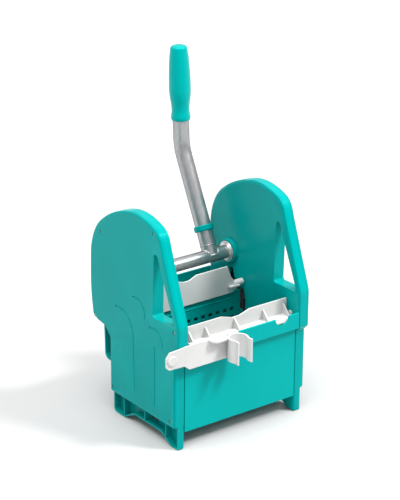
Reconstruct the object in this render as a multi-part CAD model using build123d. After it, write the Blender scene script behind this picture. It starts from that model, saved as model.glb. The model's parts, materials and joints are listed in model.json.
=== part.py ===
from build123d import *
import math
import os

# Press wringer for flat and string mops. Millimetres. +X is the right side, -Y the front,
# +Z up. The origin is on the plane the feet stand on, midway between the side panels and
# midway between the front and rear faces of the lower body.

# ------------------------------------------------------------------ body
WIDTH = 290.0                 # across the two side covers
BASE_DEPTH = 195.0            # lower body, front face to rear face
LOBE_TOP = 410.5              # top of the side panels
COVER_DEPTH = 8.0             # side cover, across the panel
HOUSING_DEPTH = 14.8          # side housing, across the panel
WALL = 3.0                    # moulded wall
RIM_OVERHANG = 10.4           # rim and lobe stand forward of the lower front wall
REAR_OVERHANG = 61.0          # lobe stands back from the lower rear wall
COVER_BOTTOM = 43.0
WALL_BOTTOM = 32.0            # lower edge of the front and rear walls
RIM_BOTTOM = 169.0
RIM_TOP = 199.5
REAR_WALL_TOP = 203.0
KNEE_Z = 239.0                # where the front edge starts to slope back
SLOPE_RUN = 40.0              # the sloping front edge goes back this far
SLOPE_DROP = 65.0             # and ends this far below the top
FOOT_FRONT = 20.0             # front foot, length along the floor
FOOT_REAR = 33.0              # rear foot, length along the floor
SKIRT_ARCH = 17.0             # height of the arch between the feet
SKIRT_RAMP = 30.0             # run of the slope from a foot up to the arch
HOOK_REACH = 29.0             # hook rib stands back from the lower rear wall
HOOK_BOTTOM = 97.0
COVER_EDGE_R = 3.8
PANEL_EDGE_R = 5.0            # inner edge of the side panel, lobe only
CARRY_HOLE = ((59.7, 371.8), (64.0, 234.0), (-1.5, 235.5))   # corners, behind the front face and Z
CARRY_HOLE_R = 5.5
SKIRT_SLOT = ((71.5, 95.5), (22.0, 34.0))    # slot above the arch, behind the front face and Z
SKIRT_RIB = 3.0
NOTCH_X = 84.0                # round notch in the rim
NOTCH_R = 15.5
NOTCH_DROP = 1.0              # notch centre above the rim
RIM_EDGE_R = 1.2
FLOOR_Z = 52.0
FLOOR_SLOT = (22.0, 6.0)
FLOOR_COLUMNS = 7
FLOOR_ROWS = 5
FLOOR_RIB = (3.0, 10.0)       # width and depth of the ribs under the floor

# grooves moulded into the outside of the covers, each a line of corners in Y and Z
GROOVES = (
    ((80.0, 216.0), (26.0, 222.0), (22.0, 71.0)),
    ((27.0, 252.0), (-8.5, 258.0), (-10.5, 222.0)),
    ((-23.0, 211.0), (-60.0, 219.0), (-62.0, 186.0)),
)
GROOVE_CORNER_R = (42.0, 26.0, 24.0)
STRAIGHT_GROOVE = ((-39.0, 181.0), (-40.0, 68.0))
GROOVE_W = 3.2
GROOVE_DEPTH = 1.2

# ------------------------------------------------------------------ shaft and lever
SHAFT_INSET = 1.5             # shaft in front of the lower rear face
SHAFT_Z = 252.5
SHAFT_D = 25.0
SHAFT_WALL = 2.0
BUSH_RIM = 11.5               # bush flange stands out this far round the shaft
BUSH_FLANGE = 6.0
BUSH_FLANGE_R = 3.0
BUSH_SLEEVE = 3.5             # wall of the bush in the housing
COLLAR_RIM = (7.0, 4.0)       # stepped collar round the shaft, large and small step
COLLAR_STEP = (2.4, 2.6)      # and the lengths of the two steps
LEVER_X = 79.5
LEVER_D = 30.0
LEVER_WALL = 2.0
LEVER_LEAN = 26.35            # degrees back from upright, lower run
LEVER_TIP_LEAN = 3.1          # degrees back from upright, upper run
LEVER_LOWER = 207.0           # shaft centre to bend
LEVER_UPPER = 176.5           # bend to the top of the tube
LEVER_BEND_R = 90.0
LEVER_TRAVEL = 100.0          # degrees
SOCKET_LENGTH = 21.0          # weld socket on the shaft
SOCKET_LIP = (1.0, 2.4)       # lip of the socket, out and along
STOP_RING_AT = 52.0           # ring on the lever, from the shaft
STOP_RING = (3.2, 11.0)       # out from the tube and along it
GRIP_LENGTH = 139.0
GRIP_WALL = 5.0               # rubber over the tube at the widest point
GRIP_CAP = 13.0               # solid rubber beyond the end of the tube

# ------------------------------------------------------------------ gear train
MODULE = 4.0
PINION_TEETH = 20
IDLER_TEETH = 16
PRESSURE_ANGLE = 25.0
ADDENDUM = 0.9                # of the module
DEDENDUM = 1.25               # of the module
BACKLASH = 0.35
GEAR_WIDTH = 8.0
PINION_HUB = (6.0, 4.0)       # out from the shaft and along it
PINION_HOLES = 6              # lightening holes
IDLER_HOLES = 5
IDLER_BEARING = 216.4         # degrees, direction from the shaft to the idler axle in Y-Z
AXLE_D = 10.0
AXLE_SKIN = 1.2               # wall left over the blind end of the axle's hole
AXLE_BOSS = 3.0
RACK_BODY = 5.0               # rack below the tooth roots
RACK_LEAD = 14.0              # rack reaches this far in front of the idler axle
RACK_FLOOR_GAP = 0.8          # rack above the wall of the lobe's underside
RUNNING_GAP = 0.06            # radial, shafts and axles in their bores
SIDE_GAP = 0.6                # beside gears, arms and levers

# ------------------------------------------------------------------ press plate
PLATE_INSET = 40.5            # pressing face at rest, in front of the lower rear face
PLATE_WALL = 3.0
PLATE_BACK = 2.0              # back wall of the hollow plate, which is open below
PLATE_DEPTH = 14.0            # hollow plate, front to back
PLATE_TOP = 190.0
PLATE_BOTTOM = 66.0
PLATE_END_GAP = 4.6           # plate end to side panel
PLATE_CORNER_R = 6.0
PLATE_RIB = 4.0
LUG_Z = (112.0, 146.0)        # lugs that pass through the slots in the side panels
LUG_GAP = 0.6                 # lug in its slot, and behind the leg of the rack
LUG_DEPTH = 13.0
HOLE_PITCH = 16.5
HOLE_W = 8.6
HOLE_H = 7.6
HOLE_ROWS = 5
HOLE_TOP_ROW = 155.0
HOLE_ROW_PITCH = 17.0
BEAD_DROP = 12.0              # bead below the top of the plate
BEAD_R = 1.5
RECESS = (88.0, 26.0, 7.0)    # shallow recesses at both ends: X, width and height
SCREW_D = 3.0
SCREW_HEAD_D = 6.0
SCREW_HEAD = 1.5
SCREW_SINK = 1.6              # cover screw heads below the face
SCREW_LENGTH = 15.0
SCREW_HOLE_GAP = 0.4
BOSS_WALL = 1.6

# ------------------------------------------------------------------ white adapters
ADAPTER_WALL = 3.0
ADAPTER_END_GAP = 2.4         # adapter end to side panel
ADAPTER_PLAY = 0.4            # adapter on the rim and on the press plate
FLANGE_INSET = 23.5           # front adapter's upright flange, behind the lower front face
FLANGE_TOP = 217.5
FLANGE_CORNER = 14.0
SHELF_Z = 187.0
DIP_X = 6.0                   # dip in the top edge: centre, half width, half flat, depth
DIP_HALF = 31.0
DIP_FLAT = 8.0
DIP_DEPTH = 7.0
GUSSET_X = (-98.0, -62.0, 2.0, 66.0, 112.0)
GUSSET_W = 2.4
GUSSET_REACH = 19.0
PEG_R = 5.0
SKIRT_LOW = 158.5             # lower edge of the skirt in front of the rim
SKIRT_TAPER = 22.0            # the skirt narrows over this length beside the side panel
KNOB_OUT = 27.0               # skirt stands out past the side cover
KNOB_Z = (168.0, 200.0)
KNOB_R = 9.5
KNOB_DEPTH = 2.5
TONGUE_X = (-82.0, -46.0)
TONGUE_REACH = 15.0
TONGUE_R = 12.0
CLIP_X = -31.0                # centre of the open clip for the mop handle
CLIP_R = 17.0                 # middle of the wall
CLIP_WALL = 3.0
CLIP_Z = (157.0, 201.0)
CLIP_WRAP = 118.0             # degrees of each jaw from the back of the clip
CLIP_LIP_R = 13.0             # the lips flare outwards on this radius
CLIP_FLARE = 52.0             # degrees
CLIP_BACK = 1.5               # clip sunk into the skirt
REAR_STAND = 5.0              # rear adapter's flange in front of the press plate
REAR_LOW = 190.5
REAR_HIGH = 244.0
REAR_CORNER = 12.0
REAR_HOOK_X = (-100.0, 84.0)
REAR_HOOK_DROP = 14.0
REAR_PEG_R = 6.0
REAR_RIB_X = (-80.0, -20.0, 40.0)

CUT = 1.0                     # cutters run past a face by this much
JOIN = 1.0                    # pieces that are fused overlap by this much
MATCH = 0.01                  # how close an edge lies to the face it is picked on

# ------------------------------------------------------------------ derived values
X_OUT = WIDTH / 2
X_JOINT = X_OUT - COVER_DEPTH          # cover meets housing
X_IN = X_JOINT - HOUSING_DEPTH         # inner face of the side panel
FRONT = -BASE_DEPTH / 2
REAR = BASE_DEPTH / 2
LIP = FRONT - RIM_OVERHANG
SHAFT_Y = REAR - SHAFT_INSET
PLATE_FRONT = REAR - PLATE_INSET
FLANGE_Y = FRONT + FLANGE_INSET
REAR_FACE_Y = PLATE_FRONT - REAR_STAND
BACK = REAR + REAR_OVERHANG
PINION_R = MODULE * PINION_TEETH / 2
IDLER_R = MODULE * IDLER_TEETH / 2
MESH_ANGLE = math.radians(IDLER_BEARING)
IDLER_PHASE = MESH_ANGLE + math.pi + math.pi / IDLER_TEETH
AXLE_Y = SHAFT_Y + (PINION_R + IDLER_R) * math.cos(MESH_ANGLE)
AXLE_Z = SHAFT_Z + (PINION_R + IDLER_R) * math.sin(MESH_ANGLE)
PRESS_TRAVEL = PINION_R * math.radians(LEVER_TRAVEL)
RACK_Z = AXLE_Z - IDLER_R              # pitch line of the rack
RACK_ROOT = RACK_Z - DEDENDUM * MODULE
RACK_BOTTOM = RACK_ROOT - RACK_BODY
LOBE_BOTTOM = RACK_BOTTOM - RACK_FLOOR_GAP - WALL
RACK_PITCH = math.pi * MODULE
GEAR_X = X_IN + WALL + SIDE_GAP        # inner face of gears and racks
SLOT_FRONT = PLATE_FRONT - PRESS_TRAVEL - 6 * LUG_GAP
PLATE_END = X_IN - PLATE_END_GAP
LEG_Y = (PLATE_FRONT + 1.0, PLATE_FRONT + PLATE_DEPTH + 1.0)
LEG_MID = (LEG_Y[0] + LEG_Y[1]) / 2
LUG_SCREW_Z = (LUG_Z[0] + 9.0, LUG_Z[1] - 9.0)
ADAPTER_END = X_IN - ADAPTER_END_GAP
SKIRT_BACK = LIP - ADAPTER_PLAY
SKIRT_FACE = SKIRT_BACK - ADAPTER_WALL
BRIDGE_Z = RIM_TOP + ADAPTER_PLAY + ADAPTER_WALL       # top of the bridge over the rim
SCREW_SPOTS = (
    (BACK - 36.5, LOBE_TOP - 68.5),
    (LIP + 72.0, LOBE_TOP - 22.0),
    (BACK - 14.5, LOBE_BOTTOM + 12.0),
    (LIP + 13.0, KNEE_Z - 12.5),
    (REAR - 9.0, COVER_BOTTOM + 11.0),
    (FRONT + 13.0, COVER_BOTTOM + 10.0),
)


# ------------------------------------------------------------------ helpers
def block(x, y, z):
    """Box between the given X, Y and Z limits, in either order."""
    size = (abs(x[1] - x[0]), abs(y[1] - y[0]), abs(z[1] - z[0]))
    return Pos((x[0] + x[1]) / 2, (y[0] + y[1]) / 2, (z[0] + z[1]) / 2) * Box(*size)


def slab(face, x0, x1):
    """Extrude a face drawn on the Y-Z plane from x0 to x1."""
    return Pos(x0, 0, 0) * extrude(face, amount=x1 - x0, dir=(1, 0, 0))


def on_front(face, y0, y1):
    """Extrude a face drawn on the X-Z plane from y0 to y1."""
    return Pos(0, y0, 0) * extrude(face, amount=y1 - y0, dir=(0, 1, 0))


def rod(x0, x1, y, z, radius):
    """Round bar along X."""
    return Pos((x0 + x1) / 2, y, z) * Rot(0, 90, 0) * Cylinder(radius, abs(x1 - x0))


def polygon(points):
    return make_face(Wire.make_polygon([(0, y, z) for y, z in points]))


def front_polygon(points):
    return make_face(Wire.make_polygon([(x, 0, z) for x, z in points]))


def edges_at_x(part, x):
    return part.edges().filter_by(lambda e: all(abs(v.X - x) < MATCH for v in e.positions([0, 0.5, 1])))


# ------------------------------------------------------------------ side panel shapes
def lobe_arcs():
    """Chain of tangent arcs over the top and back of the side panel, front slope to underside."""
    stations = (
        (LIP + 51, LOBE_TOP - 33.5),
        (LIP + 71.5, LOBE_TOP - 11.5),
        (LIP + 104, LOBE_TOP - 2.5),
        (LIP + 146, LOBE_TOP - 3.5),
        (LIP + 184, LOBE_TOP - 15.5),
        (BACK - 34, LOBE_TOP - 45.5),
        (BACK - 13, LOBE_TOP - 72),
        (BACK - 1, LOBE_TOP - 118),
        (BACK, SHAFT_Z),
        (BACK - 4.5, LOBE_BOTTOM + 26),
    )
    at = Vector(0, LIP + SLOPE_RUN, LOBE_TOP - SLOPE_DROP)
    heading = Vector(0, SLOPE_RUN, LOBE_TOP - SLOPE_DROP - KNEE_Z)
    arcs = []
    for y, z in stations:
        arc = TangentArc(at, (0, y, z), tangent=heading)
        at = arc @ 1
        heading = arc % 1
        arcs.append(arc)
    return arcs


def side_face(lower, radii):
    """Side panel face: lobe, given lower outline, front edge."""
    arcs = lobe_arcs()
    end = arcs[-1] @ 1
    corner = end + (arcs[-1] % 1) * 14
    points = [(end.Y, end.Z), (corner.Y, corner.Z), (BACK - 20, LOBE_BOTTOM + 4)]
    points += lower
    points += [
        (FRONT, RIM_BOTTOM - 10),
        (LIP, RIM_BOTTOM + 1),
        (LIP, KNEE_Z),
        (LIP + SLOPE_RUN, LOBE_TOP - SLOPE_DROP),
    ]
    tail = FilletPolyline(*[(0, y, z) for y, z in points], radius=radii)
    return make_face(Wire([edge for piece in [*arcs, tail] for edge in piece.edges()]))


def cover_face():
    lower = [(REAR + 16, LOBE_BOTTOM), (REAR, LOBE_BOTTOM - 16), (REAR, COVER_BOTTOM), (FRONT, COVER_BOTTOM)]
    return side_face(lower, [6, 9, 14, 12, 4, 4, 4, 4, 40])


def housing_face():
    """Outline of the housing: the cover's outline with the hook rib, skirt and feet."""
    hook = REAR + HOOK_REACH
    lower = [
        (hook + 1, LOBE_BOTTOM + 1),
        (hook - 2, HOOK_BOTTOM),
        (REAR, HOOK_BOTTOM - 2),
        (REAR, 0),
        (REAR - FOOT_REAR, 0),
        (REAR - FOOT_REAR - SKIRT_RAMP, SKIRT_ARCH),
        (FRONT + FOOT_FRONT + SKIRT_RAMP, SKIRT_ARCH),
        (FRONT + FOOT_FRONT, 0),
        (FRONT, 0),
    ]
    return side_face(lower, [6, 9, 3, 12, 4, 8, 6, 12, 20, 8, 2, 4, 4, 40])


def carry_hole_face(grow=0.0):
    face = polygon([(FRONT + y, z) for y, z in CARRY_HOLE])
    face = fillet(face.vertices(), CARRY_HOLE_R)
    return offset(face, amount=grow) if grow else face


def wall_opening_face():
    """Window in the housing's inner wall behind the press plate, and the lug slot."""
    low = LUG_Z[0] - LUG_GAP
    high = LUG_Z[1] + LUG_GAP
    window = polygon((
        (PLATE_FRONT - 10, low),
        (PLATE_FRONT - 10, RACK_Z - 8),
        (PLATE_FRONT - 5, RACK_Z + 12),
        (PLATE_FRONT + 11, RACK_Z + 20),
        (PLATE_FRONT + 24, RACK_Z + 28),
        (PLATE_FRONT + 28, RACK_Z + 44),
        (REAR - 2, RACK_Z + 44),
        (REAR - 2, low),
    ))
    slot = polygon(((SLOT_FRONT, low), (SLOT_FRONT, high), (PLATE_FRONT, high), (PLATE_FRONT, low)))
    return window + slot


def side_housing():
    face = housing_face()
    inner = offset(face, amount=-WALL)
    cavity = cover_face()
    tray = slab(face, X_IN, X_JOINT)
    lobe_edges = edges_at_x(tray, X_IN).filter_by(lambda e: e.center().Z > KNEE_Z)
    tray = fillet(lobe_edges, PANEL_EDGE_R)
    tray -= slab(inner, X_IN + WALL, X_JOINT + CUT)
    tray += slab(cavity - offset(cavity, amount=-WALL), X_IN + WALL - JOIN, X_JOINT)
    tray += slab(carry_hole_face(WALL), X_IN, X_JOINT)
    tray -= slab(carry_hole_face(), X_IN - CUT, X_JOINT + CUT)
    tray -= slab(wall_opening_face(), X_IN - CUT, X_IN + WALL)
    slot_y = (FRONT + SKIRT_SLOT[0][0], FRONT + SKIRT_SLOT[0][1])
    tray -= block((X_IN - CUT, X_IN + WALL), slot_y, SKIRT_SLOT[1])
    for y, z in SCREW_SPOTS:
        tray += rod(X_IN + JOIN, X_JOINT, y, z, SCREW_HEAD_D / 2 + BOSS_WALL)
    for y, z in SCREW_SPOTS:
        tray -= rod(X_OUT - SCREW_SINK - SCREW_LENGTH - CUT, X_JOINT + CUT, y, z, SCREW_D / 2)
    for y in (REAR - FOOT_REAR, slot_y[1] + SKIRT_RIB, FRONT + FOOT_FRONT + SKIRT_RAMP / 2):
        rib = polygon((
            (y, SKIRT_RIB), (y + SKIRT_RIB, SKIRT_RIB),
            (y + SKIRT_RIB, COVER_BOTTOM + WALL), (y, COVER_BOTTOM + WALL),
        ))
        tray += slab(rib & face, X_IN + JOIN, X_JOINT)
    tray -= rod(X_IN - CUT, X_IN + WALL + CUT, SHAFT_Y, SHAFT_Z, SHAFT_D / 2 + BUSH_SLEEVE)
    return tray - rod(X_IN + AXLE_SKIN, X_IN + WALL + CUT, AXLE_Y, AXLE_Z, AXLE_D / 2)


def groove_cutter(path):
    """Round groove cutter swept along a path drawn on the cover's outer face."""
    radius = (GROOVE_W ** 2 / 4 + GROOVE_DEPTH ** 2) / (2 * GROOVE_DEPTH)
    path = Pos(X_OUT + radius - GROOVE_DEPTH, 0, 0) * path
    section = Plane(origin=path @ 0, x_dir=(1, 0, 0), z_dir=path % 0) * Circle(radius)
    return sweep(section, path=path)


def side_cover():
    face = cover_face()
    inner = offset(face, amount=-WALL)
    shell = slab(face, X_JOINT, X_OUT)
    shell = fillet(edges_at_x(shell, X_OUT), COVER_EDGE_R)
    shell -= slab(inner, X_JOINT - CUT, X_OUT - WALL)
    shell += slab(carry_hole_face(WALL), X_JOINT, X_OUT - JOIN)
    for y, z in SCREW_SPOTS:
        shell += rod(X_JOINT, X_OUT - JOIN, y, z, SCREW_HEAD_D / 2 + BOSS_WALL)
    seat = X_OUT - SCREW_SINK - SCREW_HEAD
    for y, z in SCREW_SPOTS:
        shell -= rod(X_JOINT - CUT, X_OUT + CUT, y, z, SCREW_D / 2 + SCREW_HOLE_GAP)
        shell -= rod(seat, X_OUT + CUT, y, z, SCREW_HEAD_D / 2 + SCREW_HOLE_GAP)
    shell -= slab(carry_hole_face(), X_JOINT - CUT, X_OUT + CUT)
    for corners, radius in zip(GROOVES, GROOVE_CORNER_R):
        shell -= groove_cutter(FilletPolyline(*[(0, y, z) for y, z in corners], radius=radius))
    shell -= groove_cutter(Line(*[(0, y, z) for y, z in STRAIGHT_GROOVE]))
    shell += rod(GEAR_X + GEAR_WIDTH + SIDE_GAP, X_OUT - JOIN, AXLE_Y, AXLE_Z, AXLE_D / 2 + AXLE_BOSS)
    return shell - rod(GEAR_X, X_OUT - WALL, AXLE_Y, AXLE_Z, AXLE_D / 2)


def cover_screws():
    group = []
    x_head = X_OUT - SCREW_SINK
    for y, z in SCREW_SPOTS:
        head = rod(x_head - SCREW_HEAD, x_head, y, z, SCREW_HEAD_D / 2)
        head = fillet(edges_at_x(head, x_head), SCREW_HEAD / 3)
        for turn in (0, 90):
            head -= Pos(x_head, y, z) * Rot(turn, 0, 0) * Box(SCREW_HEAD, 0.6 * SCREW_HEAD_D, SCREW_D / 3)
        shank = rod(x_head - SCREW_LENGTH, x_head - SCREW_HEAD, y, z, SCREW_D / 2)
        group.append(head + shank)
    return Compound(group)


# ------------------------------------------------------------------ body between the panels
def front_wall():
    profile = polygon((
        (FRONT, WALL_BOTTOM),
        (FRONT, RIM_BOTTOM),
        (LIP, RIM_BOTTOM),
        (LIP, RIM_TOP),
        (LIP + WALL, RIM_TOP),
        (LIP + WALL, RIM_BOTTOM + WALL),
        (FRONT + WALL, RIM_BOTTOM + WALL),
        (FRONT + WALL, WALL_BOTTOM),
    ))
    wall = slab(profile, -X_IN, X_IN)
    rim_edges = wall.edges().filter_by(Axis.X).filter_by(lambda e: e.center().Y < FRONT - JOIN)
    wall = fillet(rim_edges.group_by(Axis.Y)[0], RIM_EDGE_R)
    notch = Pos(NOTCH_X, LIP, RIM_TOP + NOTCH_DROP) * Rot(90, 0, 0) * Cylinder(NOTCH_R, 4 * WALL)
    return wall - notch


def rear_wall():
    """Band that follows the panel outline across the back of the chamber."""
    face = cover_face()
    band = slab(face, -X_IN, X_IN) - slab(offset(face, amount=-WALL), -X_IN - CUT, X_IN + CUT)
    keep = block((-X_IN, X_IN), (REAR - WALL, BACK + CUT), (COVER_BOTTOM, REAR_WALL_TOP))
    foot = block((-X_IN, X_IN), (REAR - WALL, REAR), (WALL_BOTTOM, COVER_BOTTOM + 2 * WALL))
    return (band & keep) + foot


def drip_floor():
    """Perforated floor of the pressing chamber."""
    depth = (FRONT + WALL, REAR - WALL)
    plate = block((-X_IN, X_IN), depth, (FLOOR_Z, FLOOR_Z + WALL))
    step_x = 2 * X_IN / FLOOR_COLUMNS
    step_y = (depth[1] - depth[0]) / (FLOOR_ROWS + 1)
    for i in range(FLOOR_COLUMNS):
        for j in range(FLOOR_ROWS):
            x = (i - (FLOOR_COLUMNS - 1) / 2) * step_x
            y = (j - (FLOOR_ROWS - 1) / 2) * step_y
            plate -= Pos(x, y, FLOOR_Z + WALL / 2) * Box(*FLOOR_SLOT, 2 * WALL)
    for x in (-2 * step_x, 0, 2 * step_x):
        half = FLOOR_RIB[0] / 2
        edge = x + FLOOR_SLOT[0] / 2 + FLOOR_RIB[0]
        plate += block((edge - half, edge + half), depth, (FLOOR_Z - FLOOR_RIB[1], FLOOR_Z))
    return plate


# ------------------------------------------------------------------ gears
def involute(angle):
    return math.tan(angle) - angle


def gear_face(teeth, centre, phase):
    """Involute gear outline around centre, with a tooth pointing along phase (radians)."""
    alpha = math.radians(PRESSURE_ANGLE)
    pitch_r = MODULE * teeth / 2
    base_r = pitch_r * math.cos(alpha)
    root_r = pitch_r - DEDENDUM * MODULE
    tip_r = pitch_r + ADDENDUM * MODULE
    half = math.pi / (2 * teeth) - BACKLASH / (2 * pitch_r) + involute(alpha)
    start_r = max(base_r, root_r) + MATCH
    steps = 6
    flank = [(root_r, half - involute(math.acos(base_r / start_r)))]
    for i in range(steps):
        r = start_r + (tip_r - start_r) * i / (steps - 1)
        flank.append((r, half - involute(math.acos(min(1.0, base_r / r)))))
    points = []
    for tooth in range(teeth):
        middle = phase + 2 * math.pi * tooth / teeth
        side = [(r, middle - a) for r, a in flank] + [(r, middle + a) for r, a in reversed(flank)]
        points += [(centre[0] + r * math.cos(t), centre[1] + r * math.sin(t)) for r, t in side]
    return polygon(points)


def lighten(gear, y, z, count, hub_r, rim_r):
    """Ring of round holes in the web between hub and rim."""
    circle_r = (hub_r + rim_r) / 2
    hole_r = 0.35 * (rim_r - hub_r)
    for k in range(count):
        turn = 2 * math.pi * k / count
        hole_y = y + circle_r * math.cos(turn)
        hole_z = z + circle_r * math.sin(turn)
        gear -= rod(GEAR_X - CUT, GEAR_X + GEAR_WIDTH + CUT, hole_y, hole_z, hole_r)
    return gear


def pinion():
    outer = GEAR_X + GEAR_WIDTH
    gear = slab(gear_face(PINION_TEETH, (SHAFT_Y, SHAFT_Z), MESH_ANGLE), GEAR_X, outer)
    hub_r = SHAFT_D / 2 + PINION_HUB[0]
    gear += rod(outer, outer + PINION_HUB[1], SHAFT_Y, SHAFT_Z, hub_r)
    gear = lighten(gear, SHAFT_Y, SHAFT_Z, PINION_HOLES, hub_r, PINION_R - DEDENDUM * MODULE)
    return gear - rod(GEAR_X - CUT, X_OUT, SHAFT_Y, SHAFT_Z, SHAFT_D / 2)


def idler_gear():
    gear = slab(gear_face(IDLER_TEETH, (AXLE_Y, AXLE_Z), IDLER_PHASE), GEAR_X, GEAR_X + GEAR_WIDTH)
    gear = lighten(gear, AXLE_Y, AXLE_Z, IDLER_HOLES, AXLE_D, IDLER_R - DEDENDUM * MODULE)
    return gear - rod(GEAR_X - CUT, X_OUT, AXLE_Y, AXLE_Z, AXLE_D / 2 + RUNNING_GAP)


def idler_axle():
    return rod(X_IN + AXLE_SKIN, X_OUT - WALL, AXLE_Y, AXLE_Z, AXLE_D / 2)


def rack_arm():
    """Toothed bar under the idler with a leg down to the press plate's lug."""
    slope = math.tan(math.radians(PRESSURE_ANGLE))
    top = RACK_Z + ADDENDUM * MODULE
    root = RACK_ROOT
    bottom = RACK_BOTTOM
    turn = (IDLER_PHASE + math.pi / 2) % (2 * math.pi / IDLER_TEETH)
    gap_y = AXLE_Y + IDLER_R * turn
    first = math.floor((AXLE_Y - RACK_LEAD - gap_y) / RACK_PITCH)
    last = math.ceil((AXLE_Y + PRESS_TRAVEL - gap_y) / RACK_PITCH)
    half = RACK_PITCH / 4 - BACKLASH / 2
    foot = half + (RACK_Z - root) * slope
    tip = half - (top - RACK_Z) * slope
    points = [(gap_y + first * RACK_PITCH, root)]
    for k in range(first, last):
        middle = gap_y + (k + 0.5) * RACK_PITCH
        points += [(middle - foot, root), (middle - tip, top), (middle + tip, top), (middle + foot, root)]
    points += [
        (gap_y + last * RACK_PITCH, root), (gap_y + last * RACK_PITCH, bottom),
        (LEG_Y[1], bottom), (LEG_Y[1], LUG_Z[0]), (LEG_Y[0], LUG_Z[0]), (LEG_Y[0], bottom),
        (gap_y + first * RACK_PITCH, bottom),
    ]
    arm = slab(polygon(points), GEAR_X, GEAR_X + GEAR_WIDTH)
    for z in LUG_SCREW_Z:
        arm -= rod(GEAR_X - CUT, GEAR_X + GEAR_WIDTH + CUT, LEG_MID, z, SCREW_D / 2 + SCREW_HOLE_GAP)
    return arm


# ------------------------------------------------------------------ press plate
def press_plate():
    y1 = PLATE_FRONT + PLATE_WALL
    y2 = PLATE_FRONT + PLATE_DEPTH
    ends = (-PLATE_END, PLATE_END)
    plate = block(ends, (PLATE_FRONT, y1), (PLATE_BOTTOM, PLATE_TOP))
    plate += block(ends, (y1, y2), (PLATE_TOP - PLATE_WALL, PLATE_TOP))
    plate = fillet(plate.edges().filter_by(Axis.Y).group_by(Axis.Z)[-1], PLATE_CORNER_R)
    back = (y2 - PLATE_BACK, y2)
    plate += block(ends, back, (PLATE_BOTTOM, PLATE_TOP - PLATE_CORNER_R))
    inside = (-PLATE_END + PLATE_CORNER_R, PLATE_END - PLATE_CORNER_R)
    plate += block(inside, back, (PLATE_BOTTOM, PLATE_TOP - PLATE_WALL + JOIN))
    rib = PLATE_RIB / 2
    for x in (-PLATE_END + rib, -PLATE_END / 3, PLATE_END / 3, PLATE_END - rib):
        plate += block((x - rib, x + rib), (y1, y2), (PLATE_BOTTOM, PLATE_TOP - PLATE_CORNER_R))
    count = int((2 * PLATE_END - HOLE_PITCH) / HOLE_PITCH)
    for row in range(HOLE_ROWS):
        for i in range(count):
            x = (i - (count - 1) / 2) * HOLE_PITCH
            z = HOLE_TOP_ROW - row * HOLE_ROW_PITCH
            plate -= Pos(x, PLATE_FRONT, z) * Box(HOLE_W, 3 * PLATE_WALL, HOLE_H)
    plate += rod(-0.8 * PLATE_END, 0.8 * PLATE_END, PLATE_FRONT, PLATE_TOP - BEAD_DROP, BEAD_R)
    for side in (-1, 1):
        recess_z = PLATE_TOP - RECESS[2]
        plate -= Pos(side * RECESS[0], PLATE_FRONT, recess_z) * Box(RECESS[1], PLATE_WALL / 2, RECESS[2])
        outer = side * GEAR_X
        plate += block((side * (PLATE_END - PLATE_RIB), outer), (LEG_Y[0], LEG_Y[0] + LUG_DEPTH), LUG_Z)
        tip = outer - side * (SCREW_LENGTH - GEAR_WIDTH + CUT)
        for z in LUG_SCREW_Z:
            plate -= rod(tip, outer + side * CUT, LEG_MID, z, SCREW_D / 2)
    return plate


def rack_screws():
    group = []
    for side in (-1, 1):
        seat = side * (GEAR_X + GEAR_WIDTH)
        for z in LUG_SCREW_Z:
            shank = rod(seat - side * SCREW_LENGTH, seat, LEG_MID, z, SCREW_D / 2)
            head = rod(seat, seat + side * SCREW_HEAD, LEG_MID, z, SCREW_HEAD_D / 2)
            group.append(shank + head)
    return Compound(group)


# ------------------------------------------------------------------ shaft and lever
def cross_shaft():
    reach = GEAR_X + GEAR_WIDTH + PINION_HUB[1]
    tube = rod(-reach, reach, SHAFT_Y, SHAFT_Z, SHAFT_D / 2)
    return tube - rod(-X_OUT, X_OUT, SHAFT_Y, SHAFT_Z, SHAFT_D / 2 - SHAFT_WALL)


def bush():
    x0 = X_IN - BUSH_FLANGE
    flange = rod(x0, X_IN, SHAFT_Y, SHAFT_Z, SHAFT_D / 2 + BUSH_RIM)
    flange = fillet(edges_at_x(flange, x0), BUSH_FLANGE_R)
    flange += rod(X_IN, X_IN + WALL + SIDE_GAP / 2, SHAFT_Y, SHAFT_Z, SHAFT_D / 2 + BUSH_SLEEVE)
    return flange - rod(x0 - CUT, X_OUT, SHAFT_Y, SHAFT_Z, SHAFT_D / 2 + RUNNING_GAP)


def shaft_collar():
    x1 = X_IN - BUSH_FLANGE - SIDE_GAP / 2
    x2 = x1 - COLLAR_STEP[0]
    x3 = x2 - COLLAR_STEP[1]
    collar = rod(x2, x1, SHAFT_Y, SHAFT_Z, SHAFT_D / 2 + COLLAR_RIM[0])
    collar = fillet(edges_at_x(collar, x2), COLLAR_STEP[0] / 2)
    step = rod(x3, x2, SHAFT_Y, SHAFT_Z, SHAFT_D / 2 + COLLAR_RIM[1])
    collar += fillet(edges_at_x(step, x3), COLLAR_STEP[1] / 2)
    return collar - rod(x3 - CUT, x1 + CUT, SHAFT_Y, SHAFT_Z, SHAFT_D / 2)


def lever_frame():
    """Place parts drawn along +Z from the shaft's axis onto the leaning lever."""
    return Pos(LEVER_X, SHAFT_Y, SHAFT_Z) * Rot(-LEVER_LEAN, 0, 0)


def lever_socket():
    out, along = SOCKET_LIP
    socket = Pos(0, 0, SOCKET_LENGTH / 2) * Cylinder(LEVER_D / 2, SOCKET_LENGTH)
    lip = Pos(0, 0, SOCKET_LENGTH - along / 2) * Cylinder(LEVER_D / 2 + out, along)
    lip = fillet(lip.edges().filter_by(GeomType.CIRCLE), 0.9 * out)
    bore = rod(LEVER_X - LEVER_D, LEVER_X + LEVER_D, SHAFT_Y, SHAFT_Z, SHAFT_D / 2)
    return lever_frame() * (socket + lip) - bore


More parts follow.
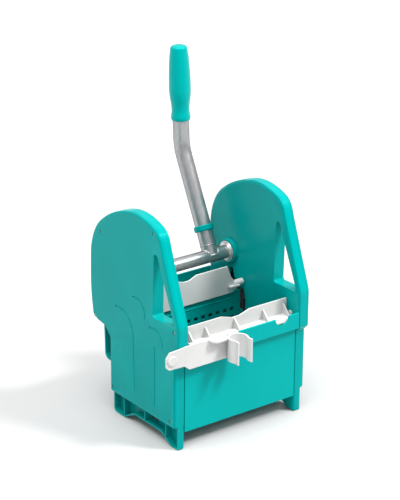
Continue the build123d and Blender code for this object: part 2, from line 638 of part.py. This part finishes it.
def lever_path():
    """Centre line of the lever tube, from the socket to the top of the tube."""
    lower = math.radians(LEVER_LEAN)
    upper = math.radians(LEVER_TIP_LEAN)
    seat = (SOCKET_LENGTH * math.sin(lower), SOCKET_LENGTH * math.cos(lower))
    bend = (LEVER_LOWER * math.sin(lower), LEVER_LOWER * math.cos(lower))
    tip = (bend[0] + LEVER_UPPER * math.sin(upper), bend[1] + LEVER_UPPER * math.cos(upper))
    points = [(LEVER_X, SHAFT_Y + y, SHAFT_Z + z) for y, z in (seat, bend, tip)]
    return FilletPolyline(*points, radius=LEVER_BEND_R)


def lever_tube():
    path = lever_path()
    start = Plane(origin=path @ 0, z_dir=path % 0)
    section = start * (Circle(LEVER_D / 2) - Circle(LEVER_D / 2 - LEVER_WALL))
    return sweep(section, path=path)


def stop_ring():
    out, along = STOP_RING
    band = Pos(0, 0, STOP_RING_AT) * Cylinder(LEVER_D / 2 + out, along)
    band = fillet(band.edges().filter_by(GeomType.CIRCLE), 0.7 * out)
    return lever_frame() * (band - Pos(0, 0, STOP_RING_AT) * Cylinder(LEVER_D / 2, 2 * along))


def grip():
    path = lever_path()
    depth = GRIP_LENGTH - GRIP_CAP
    place = Plane(origin=path @ 1 - (path % 1) * depth, x_dir=(1, 0, 0), z_dir=path % 1)
    r = LEVER_D / 2 + GRIP_WALL
    stations = (
        (0, r - 3.2), (2.5, r - 2.3), (7, r - 2.1), (11.5, r - 2.9), (18, r - 3.6), (46, r - 0.7),
        (68, r), (98, r - 1.1), (122, r - 2.9), (GRIP_LENGTH - 6, r - 4.4),
    )
    with BuildSketch(Plane.XZ) as half:
        with BuildLine():
            bottom = Line((0, 0), (stations[0][1], 0))
            Spline(*[(radius, z) for z, radius in stations])
            dome = Spline(
                (stations[-1][1], stations[-1][0]), (r - 8, GRIP_LENGTH - 1.5), (0, GRIP_LENGTH),
                tangents=[(-1, 5), (-1, 0)],
            )
            Line(dome @ 1, bottom @ 0)
        make_face()
    body = revolve(half.sketch, axis=Axis.Z)
    return place * (body - Pos(0, 0, depth / 2) * Cylinder(LEVER_D / 2, depth))


# ------------------------------------------------------------------ white adapters
def front_adapter():
    """Flange and shelf inside the rim, bridge over the rim, skirt and handle clip in front."""
    ends = (-ADAPTER_END, ADAPTER_END)
    dip_z = FLANGE_TOP - DIP_DEPTH
    part = on_front(front_polygon((
        (-ADAPTER_END, SHELF_Z), (-ADAPTER_END, FLANGE_TOP - FLANGE_CORNER),
        (-ADAPTER_END + FLANGE_CORNER, FLANGE_TOP), (DIP_X - DIP_HALF, FLANGE_TOP),
        (DIP_X - DIP_FLAT, dip_z), (DIP_X + DIP_FLAT, dip_z), (DIP_X + DIP_HALF, FLANGE_TOP),
        (ADAPTER_END, FLANGE_TOP), (ADAPTER_END, SHELF_Z),
    )), FLANGE_Y, FLANGE_Y + ADAPTER_WALL)
    shelf_front = LIP + WALL + ADAPTER_PLAY
    part += block(ends, (shelf_front, FLANGE_Y + JOIN), (SHELF_Z, SHELF_Z + ADAPTER_WALL))
    bridge = (-ADAPTER_END, CLIP_X + 14)
    riser_back = shelf_front + ADAPTER_WALL
    part += block(bridge, (shelf_front, riser_back), (SHELF_Z, BRIDGE_Z))
    part += block(bridge, (SKIRT_FACE, riser_back), (BRIDGE_Z - ADAPTER_WALL, BRIDGE_Z))
    part += front_skirt()
    part += handle_clip()
    for x in GUSSET_X:
        web = polygon((
            (FLANGE_Y + JOIN, SHELF_Z + JOIN),
            (FLANGE_Y + JOIN, FLANGE_TOP - DIP_DEPTH - 2),
            (FLANGE_Y - 2, FLANGE_TOP - DIP_DEPTH - 2),
            (FLANGE_Y - GUSSET_REACH, SHELF_Z + ADAPTER_WALL + 1),
            (FLANGE_Y - GUSSET_REACH, SHELF_Z + JOIN),
        ))
        part += slab(web, x - GUSSET_W / 2, x + GUSSET_W / 2)
    for side in (-1, 1):
        tip = side * (X_IN - ADAPTER_END_GAP / 3)
        part += rod(side * (ADAPTER_END - JOIN), tip, FLANGE_Y - 2 * PEG_R, SHELF_Z + PEG_R, PEG_R)
    return part


def front_skirt():
    """Plate in front of the rim that runs out past the left side panel."""
    low, high = KNOB_Z
    middle = (low + high) / 2
    outer = -X_OUT - KNOB_OUT
    right = CLIP_X + 4
    shape = front_polygon((
        (outer, low + 6), (outer, high - 9), (outer + 8, high), (-X_OUT, BRIDGE_Z - 2),
        (-X_OUT + 16, BRIDGE_Z), (right, BRIDGE_Z), (right, SKIRT_LOW),
        (-X_OUT + SKIRT_TAPER, SKIRT_LOW), (-X_OUT + SKIRT_TAPER / 2, low - 1), (outer + 6, low),
    ))
    shape = fillet(shape.vertices().sort_by(Axis.X)[:4], 4)
    part = on_front(shape, SKIRT_FACE, SKIRT_BACK)
    knob = Pos(outer + 12, SKIRT_FACE, middle) * Rot(90, 0, 0) * Cylinder(KNOB_R, 2 * KNOB_DEPTH)
    part += fillet(knob.edges().filter_by(GeomType.CIRCLE).sort_by(Axis.Y)[0], 0.9 * KNOB_DEPTH)
    reach = (SKIRT_FACE - TONGUE_REACH, SKIRT_FACE + JOIN)
    tongue = block(TONGUE_X, reach, (BRIDGE_Z - ADAPTER_WALL, BRIDGE_Z))
    return part + fillet(tongue.edges().filter_by(Axis.Z).group_by(Axis.Y)[0], TONGUE_R)


def handle_clip():
    """Open C that grips a mop handle, in front of the skirt."""
    low, high = CLIP_Z
    y = SKIRT_FACE + CLIP_BACK - CLIP_R - CLIP_WALL / 2
    jaw = CenterArc((0, 0), CLIP_R, 90, -CLIP_WRAP)
    tip = math.radians(90 - CLIP_WRAP)
    reach = CLIP_R + CLIP_LIP_R
    lip = CenterArc((reach * math.cos(tip), reach * math.sin(tip)), CLIP_LIP_R, 270 - CLIP_WRAP, CLIP_FLARE)
    band = offset(Wire([jaw.edge(), lip.edge()]), amount=CLIP_WALL / 2, side=Side.BOTH)
    right = Pos(CLIP_X, y, low) * extrude(make_face(band), amount=high - low, dir=(0, 0, 1))
    arc = right + mirror(right, about=Plane.YZ.offset(CLIP_X))
    left = -X_OUT + SKIRT_TAPER
    trim = front_polygon((
        (left, low - CUT), (left, SKIRT_LOW), (CLIP_X - CLIP_R, SKIRT_LOW),
        (CLIP_X, SKIRT_LOW), (CLIP_X + 2 * CLIP_R, low - CUT),
    ))
    return arc - on_front(trim, y - 3 * CLIP_R, y + 2 * CLIP_R)


def rear_adapter():
    """Flange that stands on the press plate and hooks over its top edge."""
    face = front_polygon((
        (-ADAPTER_END + 4, REAR_LOW), (-ADAPTER_END, REAR_LOW + 4),
        (-ADAPTER_END, REAR_HIGH - REAR_CORNER), (-ADAPTER_END + REAR_CORNER, REAR_HIGH),
        (-DIP_X - DIP_HALF, REAR_HIGH), (-DIP_X - DIP_FLAT, REAR_HIGH - DIP_DEPTH),
        (-DIP_X + DIP_FLAT / 2, REAR_HIGH - DIP_DEPTH), (DIP_X + DIP_FLAT, REAR_HIGH),
        (84, REAR_HIGH), (92, REAR_LOW + 32), (102, REAR_LOW + 20), (106, REAR_LOW + 8), (96, REAR_LOW),
    ))
    part = on_front(face, REAR_FACE_Y, REAR_FACE_Y + ADAPTER_WALL)
    back = PLATE_FRONT + PLATE_DEPTH + ADAPTER_PLAY
    seat = PLATE_TOP + ADAPTER_PLAY
    deck = (seat, seat + ADAPTER_WALL)
    part += block(REAR_HOOK_X, (REAR_FACE_Y, back + ADAPTER_WALL), deck)
    part += block(REAR_HOOK_X, (back, back + ADAPTER_WALL), (seat - REAR_HOOK_DROP, deck[1]))
    part += rod(98, X_IN - ADAPTER_WALL, REAR_FACE_Y + 2, REAR_LOW + 16, REAR_PEG_R)
    part += block((86, 108), (REAR_FACE_Y - 7, REAR_FACE_Y + JOIN), (REAR_LOW + 12, REAR_LOW + 15))
    half = GUSSET_W / 2
    rib_z = (deck[1] - JOIN, REAR_HIGH - REAR_CORNER)
    for x in REAR_RIB_X:
        part += block((x - half, x + half), (REAR_FACE_Y + JOIN, back), rib_z)
    return part


# ------------------------------------------------------------------ write every piece
def build():
    right = {
        "housing": side_housing(),
        "cover": side_cover(),
        "cover_screws": cover_screws(),
        "shaft_bush": bush(),
        "shaft_collar": shaft_collar(),
        "drive_pinion": pinion(),
        "idler_gear": idler_gear(),
        "idler_axle": idler_axle(),
        "rack_arm": rack_arm(),
    }
    pieces = {}
    for name, part in right.items():
        pieces["right_" + name] = part
        pieces["left_" + name] = mirror(part, about=Plane.YZ)
    pieces["front_wall"] = front_wall()
    pieces["rear_wall"] = rear_wall()
    pieces["drip_floor"] = drip_floor()
    pieces["cross_shaft"] = cross_shaft()
    pieces["lever_socket"] = lever_socket()
    pieces["lever_tube"] = lever_tube()
    pieces["lever_stop_ring"] = stop_ring()
    pieces["lever_grip"] = grip()
    pieces["press_plate"] = press_plate()
    pieces["rack_screws"] = rack_screws()
    pieces["front_adapter"] = front_adapter()
    pieces["rear_adapter"] = rear_adapter()
    return pieces


os.makedirs("parts", exist_ok=True)
for node, solid in build().items():
    export_step(solid, f"parts/{node}.step")
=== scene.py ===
import json
import math

import bmesh
import bpy
from mathutils import Matrix, Vector

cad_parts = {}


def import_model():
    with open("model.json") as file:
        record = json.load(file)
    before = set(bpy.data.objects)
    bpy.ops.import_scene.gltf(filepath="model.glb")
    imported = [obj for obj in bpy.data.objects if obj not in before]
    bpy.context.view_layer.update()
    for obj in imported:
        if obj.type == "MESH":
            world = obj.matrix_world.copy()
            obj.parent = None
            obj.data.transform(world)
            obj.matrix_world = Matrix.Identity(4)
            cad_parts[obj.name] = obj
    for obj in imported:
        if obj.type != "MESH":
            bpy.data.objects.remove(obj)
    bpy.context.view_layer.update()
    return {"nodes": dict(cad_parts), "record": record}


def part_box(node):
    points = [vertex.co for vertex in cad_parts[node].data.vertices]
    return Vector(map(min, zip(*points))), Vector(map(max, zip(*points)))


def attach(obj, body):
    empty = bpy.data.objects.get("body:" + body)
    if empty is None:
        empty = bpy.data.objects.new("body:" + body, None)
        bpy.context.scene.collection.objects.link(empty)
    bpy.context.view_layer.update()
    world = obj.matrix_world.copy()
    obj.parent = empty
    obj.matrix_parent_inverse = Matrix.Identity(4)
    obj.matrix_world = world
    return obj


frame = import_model()
nodes = frame["nodes"]


# ------------------------------------------------------------------ materials
# Painted edge highlight: the plastics' convex edges are painted paler, standing in for light caught
# on rounded edges.
EDGE_HIGHLIGHT_FROM = 0.53              # pointiness where the painted edge highlight starts
EDGE_HIGHLIGHT_TO = 0.62                # and where it is full
EDGE_HIGHLIGHT_AMOUNT = 0.35
METALLIC = 0.85               # the satin metals keep a little diffuse shade
METAL_EDGE_TINT = (0.3, 0.3, 0.3, 1.0)


def new_material(name):
    mat = bpy.data.materials.new(name)
    mat.use_nodes = True
    tree = mat.node_tree
    tree.nodes.clear()
    out = tree.nodes.new("ShaderNodeOutputMaterial")
    shader = tree.nodes.new("ShaderNodeBsdfPrincipled")
    tree.links.new(shader.outputs["BSDF"], out.inputs["Surface"])
    coords = tree.nodes.new("ShaderNodeTexCoord")
    return mat, tree, shader, coords.outputs["Object"]


def noise(tree, coords, scale, detail=3.0, stretch=None, roughness=0.55):
    vector = coords
    if stretch:
        mapping = tree.nodes.new("ShaderNodeMapping")
        mapping.inputs["Scale"].default_value = stretch
        tree.links.new(coords, mapping.inputs["Vector"])
        vector = mapping.outputs["Vector"]
    node = tree.nodes.new("ShaderNodeTexNoise")
    node.inputs["Scale"].default_value = scale
    node.inputs["Detail"].default_value = detail
    node.inputs["Roughness"].default_value = roughness
    tree.links.new(vector, node.inputs["Vector"])
    return node.outputs["Fac"]


def ramp(tree, value, stops):
    node = tree.nodes.new("ShaderNodeValToRGB")
    ramp_data = node.color_ramp
    while len(ramp_data.elements) < len(stops):
        ramp_data.elements.new(0.5)
    for element, (position, colour) in zip(ramp_data.elements, stops):
        element.position = position
        element.color = (*colour, 1.0)
    tree.links.new(value, node.inputs["Fac"])
    return node.outputs["Color"]


def remap(tree, value, low, high):
    node = tree.nodes.new("ShaderNodeMapRange")
    node.inputs["From Min"].default_value = 0.25
    node.inputs["From Max"].default_value = 0.75
    node.inputs["To Min"].default_value = low
    node.inputs["To Max"].default_value = high
    tree.links.new(value, node.inputs["Value"])
    return node.outputs["Result"]


def bump(tree, layers):
    """Chain of bump nodes from (height, strength, distance) layers."""
    normal = None
    for height, strength, distance in layers:
        node = tree.nodes.new("ShaderNodeBump")
        node.inputs["Strength"].default_value = strength
        node.inputs["Distance"].default_value = distance
        tree.links.new(height, node.inputs["Height"])
        if normal is not None:
            tree.links.new(normal, node.inputs["Normal"])
        normal = node.outputs["Normal"]
    return normal


def paint_edge_highlight(tree, colour, highlight_colour):
    """Paler colour painted along the convex edges: a painted edge highlight."""
    geometry = tree.nodes.new("ShaderNodeNewGeometry")
    edge = tree.nodes.new("ShaderNodeMapRange")
    edge.inputs["From Min"].default_value = EDGE_HIGHLIGHT_FROM
    edge.inputs["From Max"].default_value = EDGE_HIGHLIGHT_TO
    edge.inputs["To Max"].default_value = EDGE_HIGHLIGHT_AMOUNT
    tree.links.new(geometry.outputs["Pointiness"], edge.inputs["Value"])
    mix = tree.nodes.new("ShaderNodeMix")
    mix.data_type = "RGBA"
    tree.links.new(edge.outputs["Result"], mix.inputs["Factor"])
    tree.links.new(colour, mix.inputs[6])
    mix.inputs[7].default_value = (*highlight_colour, 1.0)
    return mix.outputs[2]


def plastic(name, dark, light, roughness, grain, specular, pale, tint=(1, 1, 1)):
    """Moulded plastic: slow colour drift, flow marks, fine spark-eroded grain."""
    mat, tree, shader, coords = new_material(name)
    drift = noise(tree, coords, 9.0, 4.0)
    colour = ramp(tree, drift, [(0.3, dark), (0.7, light)])
    # painted highlight: paler colour painted on the convex edges
    colour = paint_edge_highlight(tree, colour, pale)
    tree.links.new(colour, shader.inputs["Base Color"])
    flow = noise(tree, coords, 22.0, 3.0, (1.0, 1.0, 0.25))
    shine = remap(tree, flow, roughness - 0.05, roughness + 0.06)
    tree.links.new(shine, shader.inputs["Roughness"])
    fine = noise(tree, coords, 1900.0, 2.0)
    sink = noise(tree, coords, 14.0, 1.0)
    tree.links.new(bump(tree, [(sink, 0.12, 0.002), (fine, grain, 0.0002)]), shader.inputs["Normal"])
    shader.inputs["Specular IOR Level"].default_value = specular
    shader.inputs["Specular Tint"].default_value = (*tint, 1.0)
    return mat


def metal(name, dark, light, roughness, stretch, brush):
    """Drawn or turned metal: directional brushing, faint smudges."""
    mat, tree, shader, coords = new_material(name)
    lines = noise(tree, coords, 260.0, 4.0, stretch)
    smudge = noise(tree, coords, 28.0, 3.0)
    tree.links.new(ramp(tree, lines, [(0.25, dark), (0.75, light)]), shader.inputs["Base Color"])
    shine = remap(tree, smudge, roughness - 0.05, roughness + 0.07)
    tree.links.new(shine, shader.inputs["Roughness"])
    tree.links.new(bump(tree, [(lines, brush, 0.0003)]), shader.inputs["Normal"])
    shader.inputs["Metallic"].default_value = METALLIC
    shader.inputs["Specular Tint"].default_value = METAL_EDGE_TINT
    return mat


CYAN = (0.05, 1.0, 0.98)      # tint of the teal plastics' gloss
SATIN_DARK = (0.36, 0.36, 0.37)
SATIN_LIGHT = (0.48, 0.48, 0.49)
# pale is each plastic's painted edge-highlight colour
TEAL = plastic(
    "teal_moulding", dark=(0.0, 0.275, 0.264), light=(0.0, 0.297, 0.286),
    roughness=0.24, grain=0.14, specular=0.12, pale=(0.0, 0.42, 0.40), tint=CYAN,
)
GRIP = plastic(
    "teal_grip", dark=(0.0, 0.345, 0.325), light=(0.0, 0.37, 0.35),
    roughness=0.26, grain=0.12, specular=0.3, pale=(0.0, 0.45, 0.42), tint=CYAN,
)
WHITE = plastic(
    "white_moulding", dark=(0.53, 0.53, 0.522), light=(0.58, 0.58, 0.572),
    roughness=0.36, grain=0.16, specular=0.35, pale=(0.7, 0.7, 0.7),
)
GEAR = plastic(
    "dark_gear", dark=(0.035, 0.037, 0.04), light=(0.055, 0.057, 0.06),
    roughness=0.5, grain=0.25, specular=0.4, pale=(0.12, 0.12, 0.12),
)
TUBE = metal("satin_tube", SATIN_DARK, SATIN_LIGHT, 0.34, (1.0, 1.0, 0.3), 0.15)
SHAFT = metal("satin_shaft", SATIN_DARK, SATIN_LIGHT, 0.34, (0.3, 1.0, 1.0), 0.15)
TURNED = metal("turned_collar", (0.62, 0.61, 0.61), (0.76, 0.75, 0.75), 0.32, (3.0, 0.6, 0.6), 0.25)
SCREW = metal("screw_steel", (0.60, 0.60, 0.61), (0.80, 0.80, 0.81), 0.28, (1.0, 1.0, 1.0), 0.2)

FINISH = {
    "teal_plastic": TEAL,
    "teal_grip": GRIP,
    "white_plastic": WHITE,
    "gear_plastic": GEAR,
    "satin_tube": TUBE,
    "bright_collar": TURNED,
    "screw_steel": SCREW,
}


def assign(node, material):
    for slot in nodes[node].material_slots:
        slot.material = material


for entry in frame["record"]["subparts"]:
    assign(entry["node"], FINISH[entry["material_slot"]])
assign("cross_shaft", SHAFT)


# ------------------------------------------------------------------ weld at the foot of the lever
LEAN = math.radians(26.35)    # lever back from upright
SOCKET_R = 0.015
SHAFT_R = 0.0125
BEAD_R = 0.0011
BEAD_LIFT = 0.0002            # bead centre above the shaft's surface
RIPPLE = 0.12                 # of the bead's radius
RIPPLES = 40
BEAD_RINGS = 240
BEAD_SIDES = 10


def saddle_point(turn):
    """Point where the socket meets the shaft, at an angle round the socket."""
    across = SOCKET_R * math.cos(turn)
    along = SOCKET_R * math.sin(turn)
    height = math.sqrt(max(SHAFT_R ** 2 - along ** 2, 0.0)) + BEAD_LIFT
    return Vector((across, along, height))


def weld_bead():
    """Run of small overlapping ripples round the saddle between socket and shaft."""
    low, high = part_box("lever_socket")
    shaft_low, shaft_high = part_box("cross_shaft")
    foot = Vector((
        (low[0] + high[0]) / 2,
        (shaft_low[1] + shaft_high[1]) / 2,
        (shaft_low[2] + shaft_high[2]) / 2,
    ))
    place = Matrix.Translation(foot) @ Matrix.Rotation(-LEAN, 4, "X")
    turns = [2 * math.pi * i / BEAD_RINGS for i in range(BEAD_RINGS)]
    angles = [2 * math.pi * k / BEAD_SIDES for k in range(BEAD_SIDES)]
    centres = [place @ saddle_point(turn) for turn in turns]
    bm = bmesh.new()
    loops = []
    for i, centre in enumerate(centres):
        ahead = (centres[(i + 1) % BEAD_RINGS] - centres[i - 1]).normalized()
        side = ahead.cross(Vector((0, 0, 1))).normalized()
        up = side.cross(ahead)
        radius = BEAD_R * (1.0 + RIPPLE * math.sin(RIPPLES * turns[i]))
        offsets = [radius * (math.cos(a) * side + math.sin(a) * up) for a in angles]
        loops.append([bm.verts.new(centre + offset) for offset in offsets])
    for i in range(BEAD_RINGS):
        this = loops[i]
        after = loops[(i + 1) % BEAD_RINGS]
        for k in range(BEAD_SIDES):
            beside = (k + 1) % BEAD_SIDES
            bm.faces.new((this[k], this[beside], after[beside], after[k]))
    bmesh.ops.recalc_face_normals(bm, faces=bm.faces)
    mesh = bpy.data.meshes.new("lever_weld_bead")
    bm.to_mesh(mesh)
    bm.free()
    for polygon in mesh.polygons:
        polygon.use_smooth = True
    bead = bpy.data.objects.new("lever_weld_bead", mesh)
    bpy.context.scene.collection.objects.link(bead)
    bead.data.materials.append(TURNED)
    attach(bead, "lever")


weld_bead()


# ------------------------------------------------------------------ stage, lights, camera
FLOOR_HALF = 60.0
FLOOR_DROP = 0.0002           # floor below the feet, so that no faces coincide
FLOOR_GREYS = ((0.50,) * 3, (0.52,) * 3)


def floor():
    mesh = bpy.data.meshes.new("floor")
    signs = ((-1, -1), (1, -1), (1, 1), (-1, 1))
    mesh.from_pydata([(x * FLOOR_HALF, y * FLOOR_HALF, 0) for x, y in signs], [], [(0, 1, 2, 3)])
    obj = bpy.data.objects.new("floor", mesh)
    bpy.context.scene.collection.objects.link(obj)
    mat, tree, shader, coords = new_material("studio_floor")
    grey = ramp(tree, noise(tree, coords, 2.0), [(0.3, FLOOR_GREYS[0]), (0.7, FLOOR_GREYS[1])])
    tree.links.new(grey, shader.inputs["Base Color"])
    shader.inputs["Roughness"].default_value = 0.9
    shader.inputs["Specular IOR Level"].default_value = 0.1
    obj.data.materials.append(mat)
    obj.location.z = -FLOOR_DROP


def sun(name, towards, strength, angle):
    """Parallel soft light that comes from the direction towards."""
    data = bpy.data.lights.new(name, "SUN")
    data.energy = strength
    data.angle = math.radians(angle)
    obj = bpy.data.objects.new(name, data)
    bpy.context.scene.collection.objects.link(obj)
    obj.rotation_euler = Vector(towards).to_track_quat("Z", "Y").to_euler()


DOME_GREYS = ((0.0, 0.26), (0.25, 0.45), (0.7, 1.0))      # height of the direction, grey


def world():
    """Soft dome, bright overhead and dim towards the horizon."""
    dome = bpy.data.worlds.new("studio")
    dome.use_nodes = True
    tree = dome.node_tree
    coords = tree.nodes.new("ShaderNodeTexCoord")
    split = tree.nodes.new("ShaderNodeSeparateXYZ")
    tree.links.new(coords.outputs["Generated"], split.inputs["Vector"])
    stops = [(height, (grey,) * 3) for height, grey in DOME_GREYS]
    grey = ramp(tree, split.outputs["Z"], stops)
    tree.links.new(grey, tree.nodes["Background"].inputs["Color"])
    bpy.context.scene.world = dome


AZIMUTH = math.radians(-37.06)
ELEVATION = math.radians(22.04)
ROLL = math.radians(0.446)
CAMERA_PLACE = (-1.9808, -2.5985, 1.6362)
FOCAL_LENGTH = 144.24
SENSOR = 36.0
CLIP_END = 300.0


def camera():
    """Long lens looking down at the front left corner, turned slightly about its own axis."""
    level = math.cos(ELEVATION)
    back = Vector((math.sin(AZIMUTH) * level, -math.cos(AZIMUTH) * level, math.sin(ELEVATION)))
    flat_right = Vector((math.cos(AZIMUTH), math.sin(AZIMUTH), 0))
    flat_up = back.cross(flat_right)
    right = flat_right * math.cos(ROLL) + flat_up * math.sin(ROLL)
    up = flat_up * math.cos(ROLL) - flat_right * math.sin(ROLL)
    data = bpy.data.cameras.new("camera")
    data.sensor_fit = "AUTO"
    data.sensor_width = SENSOR
    data.lens = FOCAL_LENGTH
    data.clip_end = CLIP_END
    obj = bpy.data.objects.new("camera", data)
    matrix = Matrix((right, up, back)).transposed().to_4x4()
    matrix.translation = Vector(CAMERA_PLACE)
    obj.matrix_world = matrix
    bpy.context.scene.collection.objects.link(obj)
    bpy.context.scene.camera = obj


floor()
world()
sun("key", towards=(0.42, -0.50, 0.76), strength=2.8, angle=13.0)
sun("top", towards=(-0.25, -0.10, 0.96), strength=2.8, angle=45.0)
camera()
bpy.context.scene.view_settings.view_transform = "Standard"
bpy.context.scene.view_settings.look = "None"
